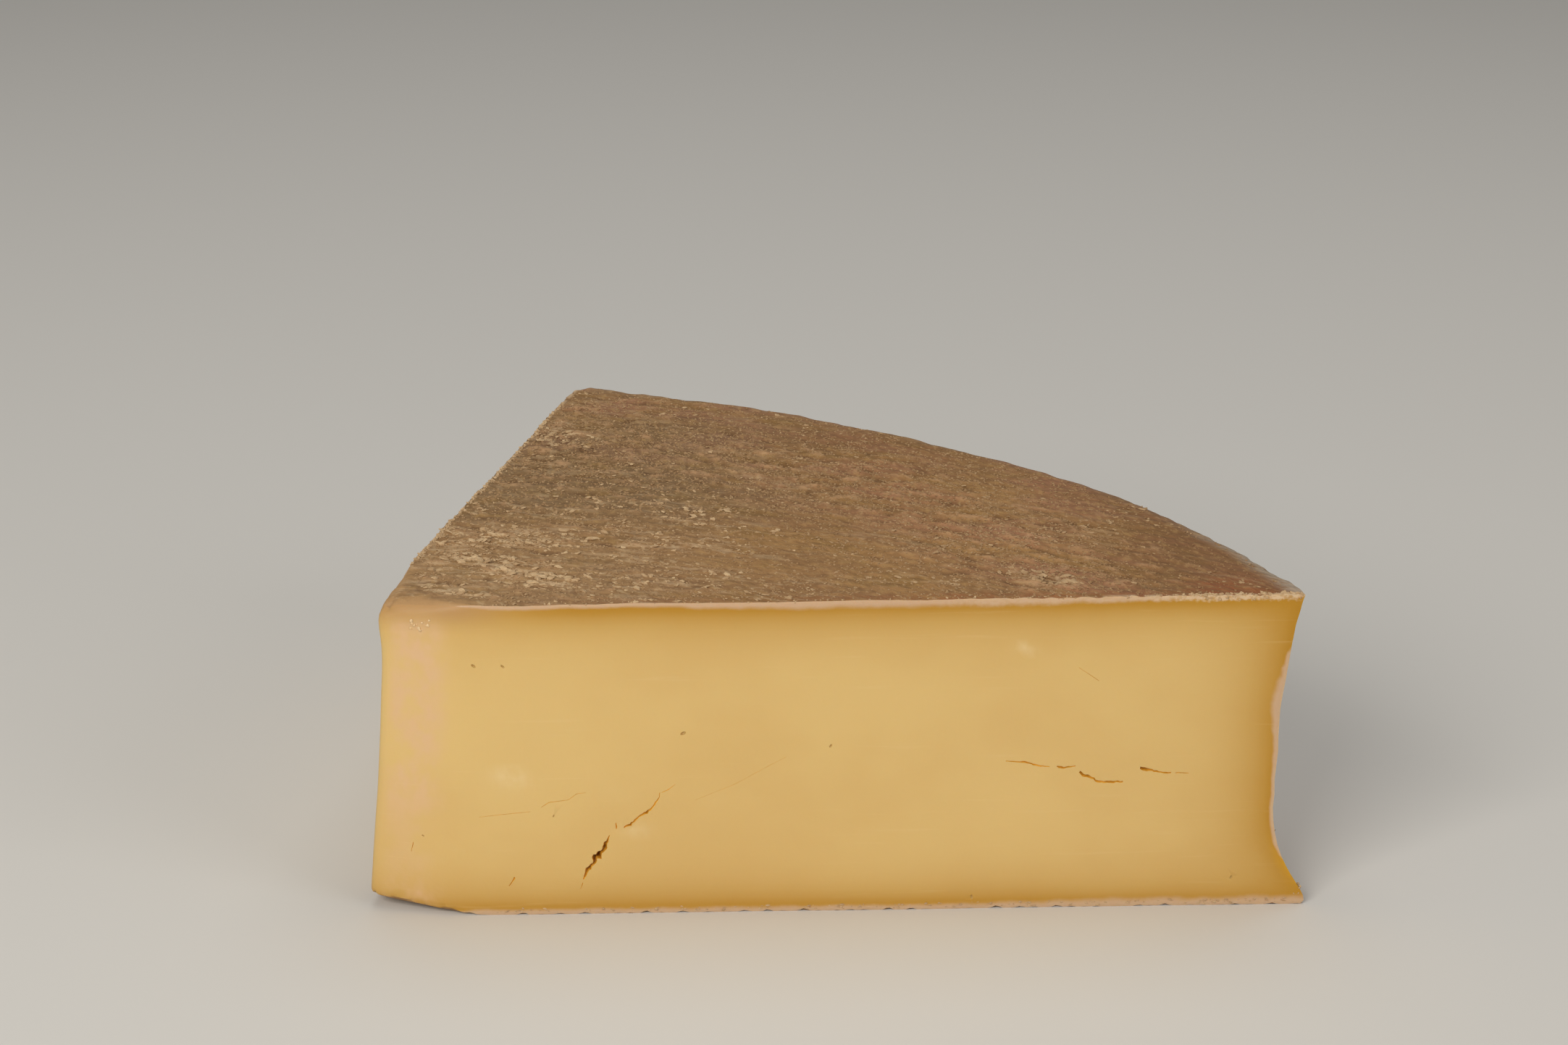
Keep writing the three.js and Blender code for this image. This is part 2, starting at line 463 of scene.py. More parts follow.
def patterns_on(tree, place, spans_and_detail):
    """Cloudy patterns over a place, each as long every way as its spans in millimetres say."""
    patterns = {}
    for name, (spans, detail) in spans_and_detail.items():
        scale = [1 / (span * MM) for span in spans]
        spread = add(tree, "ShaderNodeMapping", {"Vector": place, "Scale": scale})
        inputs = {"Vector": spread, "Scale": 1.0, "Detail": detail, "Roughness": 0.55}
        patterns[name] = add(tree, "ShaderNodeTexNoise", inputs, "Fac")
    return patterns


def tinted(tree, colour, patterns, layers):
    """Lays tints over a colour, each where its measure and its pattern let it show."""
    for measure, pattern, start, end, strength, tint in layers:
        share = strength
        if pattern:
            inputs = {"Value": patterns[pattern], "From Min": start, "From Max": end, "To Max": strength}
            share = add(tree, "ShaderNodeMapRange", inputs, interpolation_type="SMOOTHSTEP")
        if measure:
            amount = add(tree, "ShaderNodeAttribute", {}, "Fac", attribute_name=measure)
            share = add(tree, "ShaderNodeMath", {0: share, 1: amount}, operation="MULTIPLY")
        colour = add(tree, "ShaderNodeMix", {0: share, 6: colour, 7: linear(tint)}, 2, data_type="RGBA")
    return colour


PASTE_PATTERNS = {
    "clouds": ((45, 45, 30), 3),
    "blotches": ((8, 8, 10), 3),
    "smears": ((26, 26, 1.3), 2),
    "wander": ((6, 6, 6), 4),
    "crumbs": ((1.3, 1.3, 0.9), 3),
    "curd": ((0.9, 0.9, 0.9), 3),
}
# Each tint: the measure and the pattern it follows, the pattern's start and end, its strength, its colour
PASTE_TINTS = [
    (None, "clouds", 0.35, 0.65, 1.0, "#DFBD7A"),
    ("ripening", None, 0, 0, 1.0, "#B98622"),
    # The amber tint is partly the ripe paste's own colour and partly painted shade along the heel's lower
    # edge
    ("amber", None, 0, 0, 0.55, "#D9A22A"),
    # The blush is the paste's pink tinge low at the tip, and painted light: a paler pink band where the
    # tip's facet turns towards the light
    ("blush_and_painted_facet_light", "blotches", 0.30, 0.62, 1.0, "#E0B88E"),
    ("worn", None, 0, 0, 1.0, "#B98F5E"),
    (None, "smears", 0.62, 0.85, 0.20, "#E8CB93"),
    ("smear", "wander", 0.25, 0.55, 0.9, "#F0DAAA"),
]
SECTION_TINTS = [
    ("raggedness", None, 0, 0, 1.0, "#DCBF9A"),
    ("raggedness", "crumbs", 0.42, 0.60, 0.7, "#BE9464"),
]


def cheese_paste():
    """Pressed cheese cut by a knife: a smooth waxy face, warmer and darker close under the rind.
    Right at the edge the cut shows the rind's own section, a thin cream line."""
    material, tree, shader = new_material("pressed_cheese_paste_knife_cut")
    place = add(tree, "ShaderNodeTexCoord", {}, "Object")
    patterns = patterns_on(tree, place, PASTE_PATTERNS)
    colour = tinted(tree, linear("#DBB774"), patterns, PASTE_TINTS)

    gap = add(tree, "ShaderNodeAttribute", {}, "Fac", attribute_name="section_gap")
    ragged = add(tree, "ShaderNodeAttribute", {}, "Fac", attribute_name="raggedness")
    slow = {"Value": patterns["wander"], "From Min": 0.3, "From Max": 0.7, "To Min": -0.2, "To Max": 0.2}
    fine = {"Value": patterns["crumbs"], "From Min": 0.3, "From Max": 0.7, "To Min": -0.45, "To Max": 0.45}
    slow = add(tree, "ShaderNodeMapRange", slow)
    fine = add(tree, "ShaderNodeMapRange", fine)
    edge = add(tree, "ShaderNodeMath", {0: gap, 1: slow}, operation="ADD")
    edge = add(tree, "ShaderNodeMath", {0: fine, 1: ragged, 2: edge}, operation="MULTIPLY_ADD")
    section = {"Value": edge, "From Min": 1.5, "From Max": 0.5, "To Max": 0.92}
    section = add(tree, "ShaderNodeMapRange", section, interpolation_type="SMOOTHSTEP")
    cream = tinted(tree, linear("#CFAD8C"), patterns, SECTION_TINTS)
    colour = add(tree, "ShaderNodeMix", {0: section, 6: colour, 7: cream}, 2, data_type="RGBA")
    tree.links.new(colour, shader.inputs["Base Color"])

    gloss = {"Value": patterns["wander"], "To Min": 0.40, "To Max": 0.56}
    tree.links.new(add(tree, "ShaderNodeMapRange", gloss), shader.inputs["Roughness"])
    crumbly = add(tree, "ShaderNodeMath", {0: section, 1: patterns["crumbs"]}, operation="MULTIPLY")
    height = {0: crumbly, 1: 2.5, 2: patterns["curd"]}
    height = add(tree, "ShaderNodeMath", height, operation="MULTIPLY_ADD")
    bump = {"Strength": 0.4, "Distance": 0.12 * MM, "Height": height}
    tree.links.new(add(tree, "ShaderNodeBump", bump), shader.inputs["Normal"])
    shader.inputs["IOR"].default_value = 1.45
    shader.inputs["Specular IOR Level"].default_value = 0.35
    shader.inputs["Subsurface Weight"].default_value = 0.18
    shader.inputs["Subsurface Radius"].default_value = (1.0, 0.55, 0.22)
    shader.inputs["Subsurface Scale"].default_value = 3.5 * MM
    return material


TORN_PATTERNS = {
    "clouds": ((1.6, 1.6, 1.6), 3),
    "curd": ((0.6, 0.6, 0.6), 3),
}
TORN_TINTS = [
    (None, "clouds", 0.35, 0.65, 1.0, "#CC9022"),
    # Painted shade: the walls turn browner deeper in the cracks and eyes
    ("depth", None, 0, 0, 1.0, "#B07218"),
    ("eye", None, 0, 0, 0.9, "#BD9A58"),
]


def torn_paste():
    """The walls of the cracks: moist torn paste, amber, with painted shade that turns them browner deeper
    in.
    In the small eyes it is as pale as the cut."""
    material, tree, shader = new_material("pressed_cheese_paste_torn")
    place = add(tree, "ShaderNodeTexCoord", {}, "Object")
    patterns = patterns_on(tree, place, TORN_PATTERNS)
    colour = tinted(tree, linear("#E4AC3C"), patterns, TORN_TINTS)
    tree.links.new(colour, shader.inputs["Base Color"])
    bump = {"Strength": 0.5, "Distance": 0.15 * MM, "Height": patterns["curd"]}
    tree.links.new(add(tree, "ShaderNodeBump", bump), shader.inputs["Normal"])
    shader.inputs["Roughness"].default_value = 0.45
    shader.inputs["Subsurface Weight"].default_value = 0.3
    shader.inputs["Subsurface Radius"].default_value = (1.0, 0.5, 0.15)
    shader.inputs["Subsurface Scale"].default_value = 2.5 * MM
    return material


RIND_PATTERNS = {
    "patches": ((34, 18, 18), 3),
    "bloom": ((24, 12, 12), 4),
    "moss": ((17, 9, 9), 4),
    "grain": ((10, 2.4, 2.4), 4),
    "scuffs": ((11, 2.2, 2.2), 3),
    "lumps": ((3.2, 3.6, 3.6), 4),
    "granules": ((1.7, 2.4, 2.4), 3),
    "specks": ((2.2, 2.2, 2.2), 3),
    "dust": ((3.0, 1.6, 1.6), 5),
}
RIND_TINTS = [
    (None, "patches", 0.38, 0.62, 1.0, "#A77E4E"),
    ("tipward", None, 0, 0, 0.55, "#A78761"),
    ("heelward", "bloom", 0.42, 0.60, 0.55, "#A8745A"),
    ("dusk", None, 0, 0, 0.65, "#7D5936"),
    ("shade", None, 0, 0, 0.50, "#706046"),
    (None, "moss", 0.52, 0.68, 0.50, "#876635"),
    ("streaky", "grain", 0.50, 0.32, 0.38, "#6E5034"),
    # Painted shade in the hollows of the rind's relief, on the top and on the heel
    ("painted_hollow_shade", None, 0, 0, 0.60, "#69492B"),
    (None, "granules", 0.50, 0.36, 0.28, "#74532F"),
    (None, "granules", 0.52, 0.66, 0.35, "#B9945F"),
    ("flaky", "scuffs", 0.52, 0.64, 0.80, "#CFB089"),
    # Paler crests of the relief: partly the wear of the raised lumps, partly a painted highlight
    ("worn_crest_and_painted_highlight", "granules", 0.36, 0.56, 0.65, "#BE946C"),
    ("flaky", "specks", 0.56, 0.68, 0.80, "#D6B98F"),
    ("rust", "dust", 0.30, 0.62, 1.0, "#965A36"),
    ("rim", "dust", 0.26, 0.52, 0.75, "#B9AA96"),
    ("heel_side", None, 0, 0, 1.0, "#97683A"),
    ("arris", "lumps", 0.34, 0.56, 0.9, "#DABD98"),
    ("wrapped", None, 0, 0, 1.0, "#B89061"),
]


def natural_rind():
    """Brushed, washed rind: dry brown skin with a pink bloom, pale scuffs along its grain
    and a dusty grey rim."""
    material, tree, shader = new_material("brushed_natural_rind")
    place = add(tree, "ShaderNodeAttribute", {}, "Vector", attribute_name="grain_place")
    patterns = patterns_on(tree, place, RIND_PATTERNS)
    colour = tinted(tree, linear("#9A7349"), patterns, RIND_TINTS)
    tree.links.new(colour, shader.inputs["Base Color"])

    gloss = {"Value": patterns["grain"], "To Min": 0.68, "To Max": 0.95}
    tree.links.new(add(tree, "ShaderNodeMapRange", gloss), shader.inputs["Roughness"])
    height = add(tree, "ShaderNodeMath", {0: patterns["lumps"], 1: patterns["specks"]}, operation="ADD")
    height = add(tree, "ShaderNodeMath", {0: height, 1: patterns["granules"]}, operation="ADD")
    bump = {"Strength": 0.7, "Distance": 0.5 * MM, "Height": height}
    tree.links.new(add(tree, "ShaderNodeBump", bump), shader.inputs["Normal"])
    shader.inputs["Specular IOR Level"].default_value = 0.25
    return material


CRUMB_PATTERNS = {
    "clouds": ((1.2, 1.2, 1.2), 3),
    "grit": ((0.5, 0.5, 0.5), 3),
}
CRUMB_TINTS = [
    ("paleness", None, 0, 0, 1.0, "#D9BC92"),
    (None, "clouds", 0.42, 0.70, 0.4, "#A9835C"),
]


def dry_crumbs():
    """Dried crumbs of rind and paste: chalky cream where they are torn, brown where they are skin."""
    material, tree, shader = new_material("dried_rind_crumbs")
    place = add(tree, "ShaderNodeTexCoord", {}, "Object")
    patterns = patterns_on(tree, place, CRUMB_PATTERNS)
    colour = tinted(tree, linear("#93704A"), patterns, CRUMB_TINTS)
    tree.links.new(colour, shader.inputs["Base Color"])
    bump = {"Strength": 0.5, "Distance": 0.15 * MM, "Height": patterns["grit"]}
    tree.links.new(add(tree, "ShaderNodeBump", bump), shader.inputs["Normal"])
    shader.inputs["Roughness"].default_value = 0.8
    shader.inputs["Specular IOR Level"].default_value = 0.3
    return material


def butterfat():
    """Beads of butterfat sweated out of the paste: pale and shiny."""
    material, tree, shader = new_material("butterfat_sweated")
    place = add(tree, "ShaderNodeTexCoord", {}, "Object")
    patterns = patterns_on(tree, place, {"clouds": ((1.0, 1.0, 1.0), 2)})
    colour = tinted(tree, linear("#E2BC88"), patterns, [(None, "clouds", 0.4, 0.6, 1.0, "#EACB9C")])
    tree.links.new(colour, shader.inputs["Base Color"])
    shader.inputs["Roughness"].default_value = 0.15
    return material


# Cracks and eyes of the cuts. Points are across from the tip and up from the foot,
# with the crack's width or the eye's radius.

FRONT_CRACKS = [
    [(48.3, 18.1, 0.2), (47.2, 15.5, 1.05), (46.8, 14.4, 1.0), (45.4, 12.9, 1.6), (45.0, 12.3, 1.4),
     (45.1, 11.6, 0.75), (43.8, 10.5, 0.95), (43.2, 9.3, 0.65), (42.8, 8.0, 0.25)],
    [(42.6, 7.2, 0.2), (42.1, 5.9, 0.1)],
    [(51.4, 19.8, 0.45), (52.7, 20.4, 0.6), (54.3, 22.0, 0.35), (56.0, 23.1, 0.7), (57.3, 24.2, 0.4),
     (58.8, 26.6, 0.22), (58.9, 27.6, 0.15)],
    [(59.3, 27.6, 0.12), (60.6, 28.2, 0.15), (62.2, 29.5, 0.08)],
    [(49.7, 20.9, 0.2), (49.8, 19.6, 0.3)],
    [(33.8, 24.5, 0.1), (35.4, 25.6, 0.14), (39.6, 26.2, 0.12), (41.4, 27.6, 0.12), (43.3, 27.8, 0.08)],
    [(20.6, 22.3, 0.06), (25.0, 22.9, 0.1), (31.5, 23.5, 0.07)],
    [(132.5, 33.7, 0.2), (136.6, 33.4, 0.38), (139.8, 32.5, 0.3), (142.0, 32.3, 0.2)],
    [(143.6, 32.4, 0.35), (144.8, 32.0, 0.5), (147.5, 32.4, 0.2)],
    [(148.4, 31.0, 0.5), (149.2, 30.4, 0.8), (151.6, 29.4, 0.42), (152.4, 28.7, 0.5), (157.8, 28.7, 0.4)],
    [(161.5, 31.7, 0.55), (162.3, 31.6, 0.8), (165.1, 30.9, 0.42), (166.2, 30.6, 0.4), (168.1, 30.6, 0.35)],
    [(169.1, 30.6, 0.22), (171.9, 30.5, 0.12)],
    [(66.4, 25.8, 0.05), (75.0, 29.5, 0.06), (85.6, 35.3, 0.05)],
    [(147.5, 54.6, 0.08), (151.9, 51.6, 0.1)],
    [(27.0, 6.7, 0.2), (28.2, 8.6, 0.42)],
    [(6.0, 13.8, 0.1), (6.5, 15.9, 0.2)],
]
REAR_CRACKS = [
    [(71.0, 44.0, 0.2), (76.5, 41.6, 0.7), (82.0, 41.0, 0.35), (88.4, 37.9, 0.15)],
    [(91.0, 37.4, 0.25), (95.6, 35.2, 0.4), (103.0, 35.5, 0.12)],
    [(138.0, 21.0, 0.12), (147.5, 24.4, 0.25), (155.0, 24.0, 0.1)],
    [(36.0, 30.2, 0.08), (47.0, 32.6, 0.14), (55.0, 31.8, 0.08)],
]
FRONT_EYES = [
    (63.8, 41.0, 0.55), (19.6, 56.1, 0.48), (25.8, 56.1, 0.4), (95.1, 37.7, 0.38),
    (126.0, 2.7, 0.45), (181.9, 6.4, 0.4), (8.6, 17.6, 0.25), (36.4, 22.5, 0.28),
]
REAR_EYES = [
    (24.0, 47.0, 0.5), (58.5, 16.0, 0.42), (112.0, 52.5, 0.55), (121.0, 30.0, 0.36), (168.0, 41.5, 0.5),
]
CRACK_STEP = 0.5
CRACK_LEAD = 1.5  # a blade starts this far in front of the cut
CRACK_JAG = 0.22  # share of the width by which the blade sways
CRACK_DEPTH = 0.55  # share of the width
CRACK_DEEPENING = 0.5  # and so much more for each millimetre of width
CRACK_FLOOR = 0.15  # share of the width that is left at a crack's floor
EYE_SINK = 0.35  # an eye's centre is in front of the cut by this share of its radius
EYE_SHAPE = (1.3, 1.0, 0.7, 1.0)
EYE_REACH = 1.8  # an eye's walls lie within this many radii of its centre


def along_path(path, distance):
    """The point that far along a path, with its width, and the direction the path runs in there."""
    for start, end in zip(path, path[1:]):
        start, end = Vector(start), Vector(end)
        run = (end - start).to_2d()
        if distance <= run.length or end == Vector(path[-1]):
            return start.lerp(end, min(1.0, distance / run.length)), run.normalized()
        distance -= run.length


def crack_blade(shape, cut, path, draw):
    """Adds a thin ragged blade along a crack's path, as wide as the crack and narrow at its floor."""
    runs = [Vector(end) - Vector(start) for start, end in zip(path, path[1:])]
    total = sum(run.to_2d().length for run in runs)
    steps = max(4, round(total / CRACK_STEP))
    blade = divided_cube((steps, 2, 1))
    sway = [draw.uniform(-1, 1) for _ in range(steps + 1)]
    swell = [draw.uniform(0.7, 1.2) for _ in range(steps + 1)]
    for vertex in blade.verts:
        along, back, side = vertex.co
        step = round(along * steps)
        centre, direction = along_path(path, along * total)
        width = centre.z * swell[step]
        opening = 1.0 if back < 0.75 else CRACK_FLOOR
        offset = (side - 0.5) * width * opening + sway[step] * CRACK_JAG * centre.z
        floor = width * (CRACK_DEPTH + CRACK_DEEPENING * centre.z)
        depth = (-CRACK_LEAD, 0.0, floor)[round(back * 2)]
        across = centre.x - direction.y * offset
        up = centre.y + direction.x * offset
        vertex.co = to_frame(cut_point(cut, across, up, depth))
    if cut == "rear":
        bmesh.ops.reverse_faces(blade, faces=blade.faces)
    mesh = to_mesh("blade", blade)
    shape.from_mesh(mesh)
    bpy.data.meshes.remove(mesh)


def crack_cutter(material):
    """Everything that is taken out of the two cuts, as one shape."""
    draw = random.Random(SEED)
    shape = bmesh.new()
    for cut, cracks, eyes in (("front", FRONT_CRACKS, FRONT_EYES), ("rear", REAR_CRACKS, REAR_EYES)):
        for path in cracks:
            crack_blade(shape, cut, path, draw)
        for across, up, radius in eyes:
            centre = Matrix.Translation(to_frame(cut_point(cut, across, up, -EYE_SINK * radius)))
            turn = Matrix.Rotation(draw.uniform(0, 3), 4, "Y")
            lie = centre @ (turn @ Matrix.Diagonal(EYE_SHAPE))
            bmesh.ops.create_icosphere(shape, subdivisions=2, radius=radius * MM, matrix=lie)
    return add_object("crack_cutter", to_mesh("crack_cutter", shape), [material])


# The body

# Pale smears on the front cut: across, up, half length, half height
SMEARS = [
    (27.3, 30.4, 3.6, 1.3), (48.6, 27.2, 2.4, 0.7), (53.5, 18.3, 3.0, 0.9), (136.3, 59.5, 1.8, 0.6),
]

# How the paste ripens under the upper rind, the heel and the foot:
# it is ripest up to the first depth, and that dies away over the second
RIPE_UNDER_TOP = (1.5, 4.6)
RIPE_UNDER_HEEL = (0.5, 8.5)
RIPE_UNDER_FOOT = (1.8, 4.5)
FOOT_RIPENESS = 0.85
FOOT_SECTION_SINK = 0.2  # the section along the foot starts this far below the block


def section_widths(from_tip, up):
    """How thick the rind shows in a cut: along the top, down the heel and along the foot."""
    top = 0.85 * fade(from_tip, 8, 26) + 0.6 * fade(from_tip, 45, 100) - 0.45 * fade(from_tip, 130, 165)
    heel = 0.8 * fade(up, 9, 14) * fade(up, 62, 54) + 0.9 * hill(up, 47, 7)
    foot = 1.2 * fade(from_tip, 10, 26) + 0.6 * fade(from_tip, 120, 170)
    return top, heel, foot


def in_eye(across, up, depth, eyes):
    """1 within an eye of a cut, and 0 elsewhere."""
    near = [math.hypot(across - a, up - b) < EYE_REACH * radius for a, b, radius in eyes]
    return 1.0 if depth < 1 and any(near) else 0.0


def place_on_body(co):
    """Where a point of the body lies: its plan and height, how far it is below the upper rind,
    inside the heel, above the foot and behind each cut, and how far from the tip."""
    point = from_frame(co)
    x, y, up = point - unevenness(point)
    height = min(1.0, max(0.0, up / BLOCK_HEIGHT))
    behind, beside = cut_distances(x, y, height)
    out_of_tip = Vector((x, y)) - tip_point(height)
    return SimpleNamespace(
        x=x, y=y, up=up,
        below=max(0.0, top_height(x, y) - up),
        inside=max(0.0, rim_distance(x, y, height)),
        above=max(0.0, up),
        behind=behind,
        beside=beside,
        to_cut=max(0.0, min(behind, beside)),
        from_tip=out_of_tip.length,
        along_rear=out_of_tip.dot(rear_direction),
    )


def paste_measures(at):
    """What the paste reads at a place: how ripe, marked or worn it is, and how near the rind's section."""
    unripe = 1.0
    near_top = 0.45 + 0.55 * fade(at.from_tip, 8, 45)
    for distance, (start, run), most in (
        (at.below, RIPE_UNDER_TOP, near_top),
        (at.inside, RIPE_UNDER_HEEL, 1.0),
        (at.above, RIPE_UNDER_FOOT, FOOT_RIPENESS),
    ):
        unripe *= 1 - most * math.exp(-max(0.0, distance - start) / run)

    # A gap is 1 at the edge of a section, and a section that is too thin to show is out of reach
    distances = (at.below, at.inside, at.above + FOOT_SECTION_SINK)
    gaps = [
        distance / max(0.05, width) + 2 * fade(width, 0.5, 0.1)
        for distance, width in zip(distances, section_widths(at.from_tip, at.up))
    ]
    # Painted light: a paler pink band on the tip's facet, where it turns towards the light
    band = fade(at.from_tip, 17, 11) * fade(at.from_tip, 1, 4.5)
    band_height = 0.35 + 0.65 * fade(at.up, 16, 32)
    tip_lip = hill(at.x, 6, 5) * fade(at.up, 7.5, 4.5)
    torn = 0.25 * fade(at.from_tip, 112, 130) + 0.75 * fade(at.from_tip, 156, 177)
    smear = 0.0
    if at.behind < 1.5:
        smear = sum(hill(at.x, a, c) * hill(at.up, b, d) for a, b, c, d in SMEARS)
    front_eye = in_eye(at.x, at.up, at.behind, FRONT_EYES)
    rear_eye = in_eye(at.along_rear, at.up, at.beside, REAR_EYES)
    return {
        "ripening": 1 - unripe,
        "section_gap": min(4.0, *gaps),
        "raggedness": torn * fade(at.below, 8, 3),
        # Amber near the heel's lower flare: partly the ripe paste's colour, partly painted shade of that
        # edge
        "amber": hill(at.up, 9, 5) * fade(at.inside, 2.5, 0.3),
        "blush_and_painted_facet_light": 0.85 * band * band_height * fade(at.below, 2, 6) + 0.7 * tip_lip,
        "smear": min(1.0, smear),
        "worn": fade(at.below, 7.0, 0.0) * fade(at.from_tip, 32, 14),
        # Painted shade for the walls of cracks and eyes, growing deeper in
        "depth": fade(at.to_cut, 0.1, 1.2),
        "eye": max(front_eye, rear_eye),
    }


def rind_measures(at):
    """What the rind reads at a place: the lie of its grain, its relief, and where each tint shows."""
    x, y, below = at.x, at.y, at.below
    on_top = fade(below, 3, 1)
    on_heel = fade(below, 3, 8) * fade(at.inside, 3, 1)
    relief = rind_relief(x, y)
    heel_bumps = ripple((x, y, at.up), [HEEL_GRAIN_SPAN] * 3)
    # Painted shade: darker where the relief dips, and in the dips of the heel's grain
    painted_hollow_shade = fade(relief, -0.08, -0.38) * on_top
    flaky = min(1.0, 1.3 * flakiness(x, y)) * (1 - 0.45 * fade(x, 80, 125))
    dusk = max(fade(x, 140, 175), 0.6 * fade(y, 60, 120) * fade(x, 60, 110))
    rusty_strip = 0.55 * fade(at.behind, 6, 1.5)
    rusty_strip *= 0.5 * fade(at.from_tip, 22, 40) + 0.5 * fade(at.from_tip, 80, 125)
    rusty_patch = 0.9 * hill(x, 179, 8) * hill(y, 7, 6)
    return {
        "grain_place": (with_the_grain(x, y) + Vector((0, 0, at.up))) * MM,
        "tipward": (1 - fade(x, 35, 95)) * (1 - 0.8 * fade(y, 22, 70)),
        "heelward": 0.12 + 0.88 * fade(at.inside, 75, 45),
        "dusk": dusk * (1 - 0.6 * on_heel),
        "shade": fade(y, 40, 80) * fade(y, 165, 125) * fade(x, 110, 60),
        "streaky": max(1 - 0.75 * fade(x, 55, 110), 0.8 * on_heel),
        # Crests of the relief and of the heel's grain: partly worn paler, partly a painted highlight
        "worn_crest_and_painted_highlight": fade(relief, 0.08, 0.38) * on_top + on_heel * fade(heel_bumps, 0.1, 0.5),
        "painted_hollow_shade": painted_hollow_shade + 0.7 * on_heel * fade(heel_bumps, -0.1, -0.5),
        "flaky": max(flaky, 0.4 * on_heel),
        "rust": min(1.0, rusty_strip + rusty_patch) * on_top,
        "rim": fade(at.inside, 5.5, 0.8) * fade(below, 6, 1) * (0.15 + 0.85 * fade(y, 55, 30)),
        "heel_side": 0.3 * on_heel,
        "arris": fade(at.to_cut, 1.4, 0.4) * fade(at.from_tip, 140, 172) * fade(below, 2, 0.5),
        "wrapped": 0.9 * fade(at.to_cut, 5.0, 0.4) * fade(at.from_tip, 30, 12),
    }


def body_measures(mesh):
    """Stores what the finishes read at each point of the body."""
    places = [place_on_body(vertex.co) for vertex in mesh.vertices]
    rows = [{**paste_measures(at), **rind_measures(at)} for at in places]
    set_measures(mesh, {name: [row[name] for row in rows] for name in rows[0]})


def uncut_block():
    """The block before its cracks are cut, with the edges between its sides marked sharp."""
    shape = divided_cube(CELLS)
    divide_rind(shape)
    for edge in shape.edges:
        ends = [vertex.co for vertex in edge.verts]
        on_side = [all(abs(abs(co[axis] - 0.5) - 0.5) < TINY for co in ends) for axis in range(3)]
        edge.smooth = sum(on_side) < 2
    for face in shape.faces:
        middle = face.calc_center_median()
        on_cut = min(middle.x, middle.y) < TINY
        face.material_index = 0 if on_cut else 1
    for vertex in shape.verts:
        along, back, up = vertex.co
        crowded = (1 - math.cos(math.pi * up)) / 2
        height = up + (crowded - up) * ROW_CROWDING
        vertex.co = to_frame(block_point(along ** TIP_CROWDING, back ** TIP_CROWDING, height))
    return to_mesh("cheese_block_body", shape)


def cheese_body(paste, rind, torn):
    """The block itself, with its cracks cut out and its arrises eased."""
    body = add_object("cheese_block_body", uncut_block(), [paste, rind, torn], smooth=False)
    cutter = crack_cutter(torn)
    cracks = body.modifiers.new("cracks", "BOOLEAN")
    cracks.object = cutter
    cracks.operation = "DIFFERENCE"
    cracks.solver = "EXACT"
    cracks.material_mode = "TRANSFER"
    view = bpy.context.evaluated_depsgraph_get()
    cracked = bpy.data.meshes.new_from_object(body.evaluated_get(view))
    body.modifiers.clear()
    body.data = cracked
    bpy.data.objects.remove(cutter)

    shape = bmesh.new()
    shape.from_mesh(cracked)
    arris = [edge for edge in shape.edges if not edge.smooth]
    bmesh.ops.bevel(
        shape, geom=arris, offset=ARRIS * MM, offset_type="OFFSET", segments=2, profile=0.5,
        affect="EDGES", material=-1, clamp_overlap=True,
    )
    shape.to_mesh(cracked)
    shape.free()
    cracked.shade_smooth()
    cracked.set_sharp_from_angle(angle=SHARP_ANGLE)
    body_measures(cracked)
    return body


# Crumbs and flakes. A grain is a place, three half sizes, the way it faces, and how pale it is.

UPWARDS = Vector((0, 0, 1))
FLAKE_COUNT = 1400
GRIT_COUNT = 18000
HEEL_GRIT_COUNT = 12000
EDGE_CRUMB_TRIES = 800
EDGE_CRUMB_START = 24
FOOT_SCRAP_COUNT = 230
LIP_CRUMB_COUNT = 16
BEAD_COUNT = 14
BEAD_ACROSS = (8.8, 1.2)  # where the beads gather on the front cut, and their spread
BEAD_UP = (63.8, 1.0)


def scatter(name, material, grains, sides, rings, smooth=False):
    """One mesh of many small lumps, angular unless they are smooth."""
    template = bmesh.new()
    bmesh.ops.create_uvsphere(template, u_segments=sides, v_segments=rings, radius=1.0)
    corners = np.array([vertex.co for vertex in template.verts])
    faces = [[vertex.index for vertex in face.verts] for face in template.faces]
    template.free()
    draw = np.random.default_rng(SEED + len(grains))
    points = []
    tones = []
    for place, sizes, facing, paleness in grains:
        lump = corners * draw.uniform(0.55, 1.2, (len(corners), 1)) * np.array(sizes)
        turned = lump @ np.array(facing).T + np.array(place)
        points.append(np.array(tip_origin) + turned * MM)
        tones.append(paleness * draw.uniform(0.75, 1.0, len(corners)))
    mesh = bpy.data.meshes.new(name)
    every_face = [[index + start for index in face]
                  for start in range(0, len(grains) * len(corners), len(corners)) for face in faces]
    mesh.from_pydata(np.concatenate(points), [], every_face)
    set_measures(mesh, {"paleness": np.concatenate(tones)})
    return add_object(name, mesh, [material], smooth)


def facing(draw, normal=UPWARDS, turn=math.pi, tilt=0.4):
    """A way for a grain to lie: flat to a surface, turned and tilted a little."""
    onto = UPWARDS.rotation_difference(normal).to_matrix()
    spin = Matrix.Rotation(draw.uniform(-turn, turn), 3, "Z")
    return onto @ spin @ Matrix.Rotation(draw.uniform(-tilt, tilt), 3, "Y")


def half_sizes(draw, size, *stretches):
    """A grain's half sizes, each the given size times a random amount between two limits."""
    return tuple(size * draw.uniform(least, most) for least, most in stretches)


def random_top_place(draw):
    """A random place on the upper rind, in from its edges."""
    while True:
        x = draw.uniform(0, FRONT_LENGTH)
        y = draw.uniform(0, FRONT_LENGTH)
        to_cut = min(cut_distances(x, y))
        worn = fade(math.hypot(x, y), 30, 14)
        if rim_distance(x, y) > 2.5 and to_cut > 0.7 + 6 * worn:
            return x, y


def along_grain(x):
    """The turn about Z that lays a grain along the grain of the rind."""
    return Matrix.Rotation(-math.atan(GRAIN_LEAN + 2 * GRAIN_SWING * x), 3, "Z")


